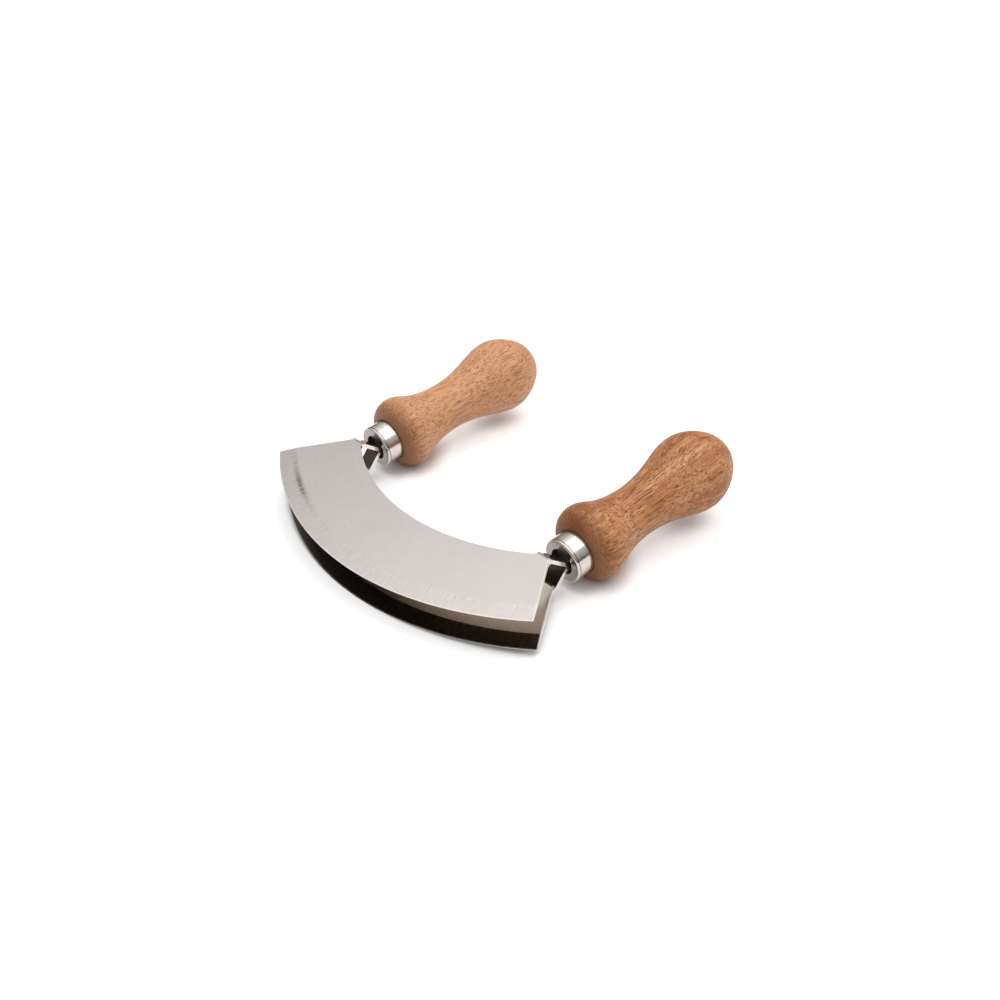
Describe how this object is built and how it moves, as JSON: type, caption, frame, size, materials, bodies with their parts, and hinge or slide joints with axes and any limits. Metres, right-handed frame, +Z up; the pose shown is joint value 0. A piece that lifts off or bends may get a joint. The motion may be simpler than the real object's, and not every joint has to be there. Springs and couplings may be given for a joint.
{
  "type": "mezzaluna",
  "caption": "Mezzaluna chopping knife with paired crescent blades and turned wooden handles at its ends, lying on its side.",
  "frame": {"origin": "on the table, under the middle of the tool's outline as it lies on its side", "axes": "+X from the left handle to the right handle, +Y from the cutting edges to the handle ends, +Z up; the blades lie tilted, their cutting edges lower than the handles"},
  "size_m": [0.16, 0.1502, 0.0384],
  "materials": {
    "blade_steel": "satin-polished stainless sheet with a fine cross-brushed ground edge",
    "ferrule_metal": "polished nickel-plated",
    "handle_wood": "satin-oiled warm brown hardwood with fine dark pores",
    "tang_resin": "dark matt epoxy resin"
  },
  "bodies": {
    "root": {"upper_blade": "blade_steel", "lower_blade": "blade_steel", "left_ferrule": "ferrule_metal", "right_ferrule": "ferrule_metal", "left_handle": "handle_wood", "right_handle": "handle_wood", "left_tang_resin": "tang_resin", "right_tang_resin": "tang_resin"}
  },
  "joints": []
}
